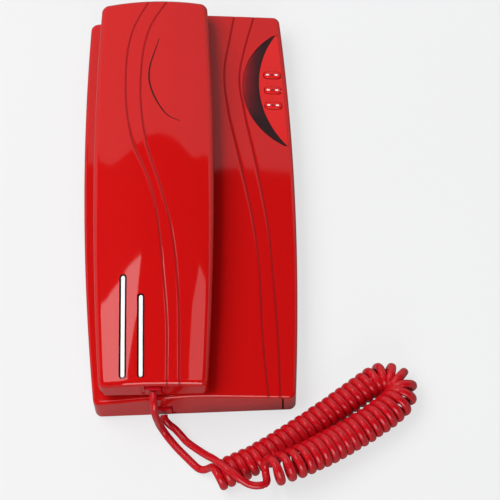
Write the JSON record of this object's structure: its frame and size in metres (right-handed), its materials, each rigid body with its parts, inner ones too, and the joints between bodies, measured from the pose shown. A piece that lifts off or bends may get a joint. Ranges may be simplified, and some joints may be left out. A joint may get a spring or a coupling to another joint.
{
  "type": "telephone",
  "caption": "Slim wall telephone: long handset seated on the left of a ridged base, crescent lens and side keys, curly cord folded beside it.",
  "frame": {"origin": "centre of the plane that the four rubber feet stand on, under the middle of the base", "axes": "+X to the phone's right, +Y to its top end, +Z out of its back plane towards the user; the phone lies on its back"},
  "size_m": [0.1503, 0.2427, 0.039],
  "materials": {
    "red_case": "high-gloss injection moulded ABS",
    "red_cord": "soft semi-gloss extruded PVC",
    "plug_plastic": "tinted translucent polycarbonate",
    "white_plastic": "satin moulded ABS",
    "smoked_lens": "polished smoked acrylic",
    "black_plastic": "fine-grained moulded ABS",
    "black_rubber": "matt moulded rubber",
    "grey_silicone": "matt silicone",
    "board": "glass-epoxy laminate with solder mask",
    "steel": "zinc-plated steel",
    "capsule_metal": "pressed aluminium",
    "lamp": "clear epoxy"
  },
  "bodies": {
    "base": {"base_top_cover": "red_case", "base_back_cover": "red_case", "foot_1": "black_rubber", "foot_2": "black_rubber", "foot_3": "black_rubber", "foot_4": "black_rubber", "case_screw_1": "steel", "case_screw_2": "steel", "case_screw_3": "steel", "case_screw_4": "steel", "main_board": "board", "keypad_mat": "grey_silicone", "side_board": "board", "function_key_mat": "grey_silicone", "hook_spring": "steel", "hook_switch": "black_plastic", "crescent_lens": "smoked_lens", "ring_lamp": "lamp", "key_panel": "red_case", "line_jack": "black_plastic", "ringer": "black_plastic", "base_jack": "red_case", "base_plug": "plug_plastic", "base_lead": "red_cord", "curly_cord": "red_cord", "handset_lead": "red_cord"},
    "handset": {"handset_outer_shell": "red_case", "handset_inner_shell": "red_case", "receiver_capsule": "capsule_metal", "receiver_ring": "black_rubber", "microphone_capsule": "capsule_metal", "microphone_boot": "black_rubber", "handset_weight": "steel", "inlay_bar_long": "white_plastic", "inlay_bar_short": "white_plastic", "handset_jack": "red_case", "handset_plug": "plug_plastic", "handset_screw_1": "steel", "handset_screw_2": "steel"},
    "hook_plunger": {"hook_plunger": "white_plastic"},
    "digit_key_1": {"digit_key_1": "white_plastic"},
    "digit_key_2": {"digit_key_2": "white_plastic"},
    "digit_key_3": {"digit_key_3": "white_plastic"},
    "digit_key_4": {"digit_key_4": "white_plastic"},
    "digit_key_5": {"digit_key_5": "white_plastic"},
    "digit_key_6": {"digit_key_6": "white_plastic"},
    "digit_key_7": {"digit_key_7": "white_plastic"},
    "digit_key_8": {"digit_key_8": "white_plastic"},
    "digit_key_9": {"digit_key_9": "white_plastic"},
    "digit_key_star": {"digit_key_star": "white_plastic"},
    "digit_key_0": {"digit_key_0": "white_plastic"},
    "digit_key_hash": {"digit_key_hash": "white_plastic"},
    "function_key_1": {"function_key_1": "red_case"},
    "function_key_2": {"function_key_2": "red_case"},
    "function_key_3": {"function_key_3": "red_case"}
  },
  "joints": [
    {"name": "handset_lift", "type": "slide", "parent": "base", "child": "handset", "axis": [0, 0, 1], "range_m": [0, 0.04]},
    {"name": "hook_plunger_slide", "type": "slide", "parent": "base", "child": "hook_plunger", "axis": [0, 0, 1], "range_m": [0, 0.003], "deforming": ["hook_spring"]},
    {"name": "digit_key_1_press", "type": "slide", "parent": "base", "child": "digit_key_1", "axis": [0, 0, -1], "range_m": [0, 0.0012], "stiffness_N_per_m": 400},
    {"name": "digit_key_2_press", "type": "slide", "parent": "base", "child": "digit_key_2", "axis": [0, 0, -1], "range_m": [0, 0.0012], "stiffness_N_per_m": 400},
    {"name": "digit_key_3_press", "type": "slide", "parent": "base", "child": "digit_key_3", "axis": [0, 0, -1], "range_m": [0, 0.0012], "stiffness_N_per_m": 400},
    {"name": "digit_key_4_press", "type": "slide", "parent": "base", "child": "digit_key_4", "axis": [0, 0, -1], "range_m": [0, 0.0012], "stiffness_N_per_m": 400},
    {"name": "digit_key_5_press", "type": "slide", "parent": "base", "child": "digit_key_5", "axis": [0, 0, -1], "range_m": [0, 0.0012], "stiffness_N_per_m": 400},
    {"name": "digit_key_6_press", "type": "slide", "parent": "base", "child": "digit_key_6", "axis": [0, 0, -1], "range_m": [0, 0.0012], "stiffness_N_per_m": 400},
    {"name": "digit_key_7_press", "type": "slide", "parent": "base", "child": "digit_key_7", "axis": [0, 0, -1], "range_m": [0, 0.0012], "stiffness_N_per_m": 400},
    {"name": "digit_key_8_press", "type": "slide", "parent": "base", "child": "digit_key_8", "axis": [0, 0, -1], "range_m": [0, 0.0012], "stiffness_N_per_m": 400},
    {"name": "digit_key_9_press", "type": "slide", "parent": "base", "child": "digit_key_9", "axis": [0, 0, -1], "range_m": [0, 0.0012], "stiffness_N_per_m": 400},
    {"name": "digit_key_star_press", "type": "slide", "parent": "base", "child": "digit_key_star", "axis": [0, 0, -1], "range_m": [0, 0.0012], "stiffness_N_per_m": 400},
    {"name": "digit_key_0_press", "type": "slide", "parent": "base", "child": "digit_key_0", "axis": [0, 0, -1], "range_m": [0, 0.0012], "stiffness_N_per_m": 400},
    {"name": "digit_key_hash_press", "type": "slide", "parent": "base", "child": "digit_key_hash", "axis": [0, 0, -1], "range_m": [0, 0.0012], "stiffness_N_per_m": 400},
    {"name": "function_key_1_press", "type": "slide", "parent": "base", "child": "function_key_1", "axis": [0, 0, -1], "range_m": [0, 0.001], "stiffness_N_per_m": 400},
    {"name": "function_key_2_press", "type": "slide", "parent": "base", "child": "function_key_2", "axis": [0, 0, -1], "range_m": [0, 0.001], "stiffness_N_per_m": 400},
    {"name": "function_key_3_press", "type": "slide", "parent": "base", "child": "function_key_3", "axis": [0, 0, -1], "range_m": [0, 0.001], "stiffness_N_per_m": 400}
  ],
  "couplings": [
    {"joint": "hook_plunger_slide", "follows": "handset_lift", "ratio": 0.075}
  ]
}
